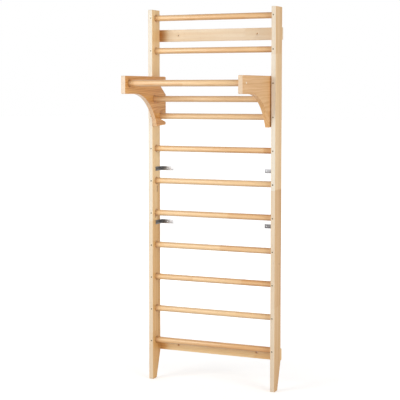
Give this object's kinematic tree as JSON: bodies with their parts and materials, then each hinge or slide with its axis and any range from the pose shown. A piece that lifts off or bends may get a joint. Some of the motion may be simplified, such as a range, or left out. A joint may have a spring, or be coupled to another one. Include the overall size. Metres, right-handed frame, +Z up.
{
  "type": "swedish wall bars",
  "caption": "Wooden wall bars: round rungs between stiles that are fixed to a wall, with a lift-off pull-up unit hooked over the upper rungs.",
  "frame": {"origin": "middle of the upper wall board's back face, on the wall plane; the floor is 2.041 m below it", "axes": "+Z up, +Y into the wall, +X to the right of someone who faces the bars; the unit reaches out towards -Y"},
  "size_m": [0.8, 0.519, 2.19],
  "materials": {
    "stile_wood": "clear satin lacquer on pale softwood",
    "board_wood": "clear satin lacquer on pale softwood",
    "rung_wood": "clear satin lacquer on warm beech-like wood",
    "bracket_wood": "clear satin lacquer on pale softwood",
    "plug_wood": "sanded end grain",
    "dark_screws": "dark phosphate",
    "zinc_screws": "zinc plated",
    "zinc_angles": "zinc plated"
  },
  "bodies": {
    "ladder": {"stile_left": "stile_wood", "stile_right": "stile_wood", "rung_01": "rung_wood", "rung_02": "rung_wood", "rung_03": "rung_wood", "rung_04": "rung_wood", "rung_05": "rung_wood", "rung_06": "rung_wood", "rung_07": "rung_wood", "rung_08": "rung_wood", "rung_09": "rung_wood", "rung_10": "rung_wood", "rung_11": "rung_wood", "wall_board_upper": "board_wood", "wall_board_lower": "board_wood", "wall_angle_upper_left": "zinc_angles", "wall_angle_upper_right": "zinc_angles", "wall_angle_lower_left": "zinc_angles", "wall_angle_lower_right": "zinc_angles", "rung_screw_left_01": "dark_screws", "rung_screw_left_02": "dark_screws", "rung_screw_left_03": "dark_screws", "rung_screw_left_04": "dark_screws", "rung_screw_left_05": "dark_screws", "rung_screw_left_06": "dark_screws", "rung_screw_left_07": "dark_screws", "rung_screw_left_08": "dark_screws", "rung_screw_left_09": "dark_screws", "rung_screw_left_10": "dark_screws", "rung_screw_left_11": "dark_screws", "rung_screw_right_01": "dark_screws", "rung_screw_right_02": "dark_screws", "rung_screw_right_03": "dark_screws", "rung_screw_right_04": "dark_screws", "rung_screw_right_05": "dark_screws", "rung_screw_right_06": "dark_screws", "rung_screw_right_07": "dark_screws", "rung_screw_right_08": "dark_screws", "rung_screw_right_09": "dark_screws", "rung_screw_right_10": "dark_screws", "rung_screw_right_11": "dark_screws", "board_screw_upper_left": "zinc_screws", "board_screw_upper_right": "zinc_screws", "board_screw_lower_left": "zinc_screws", "board_screw_lower_right": "zinc_screws", "angle_screw_upper_left_01": "dark_screws", "angle_screw_upper_left_02": "dark_screws", "angle_screw_upper_right_01": "dark_screws", "angle_screw_upper_right_02": "dark_screws", "angle_screw_lower_left_01": "dark_screws", "angle_screw_lower_left_02": "dark_screws", "angle_screw_lower_right_01": "dark_screws", "angle_screw_lower_right_02": "dark_screws"},
    "pull_up_unit": {"hook_bracket_left": "bracket_wood", "hook_bracket_right": "bracket_wood", "grip_bar": "rung_wood", "stretcher_bar": "rung_wood", "grip_bar_plug_left": "plug_wood", "grip_bar_plug_right": "plug_wood"}
  },
  "joints": [
    {"name": "unit_lift_off", "type": "slide", "parent": "ladder", "child": "pull_up_unit", "axis": [0, -0.9659, 0.2588], "range_m": [0, 0.13]}
  ]
}
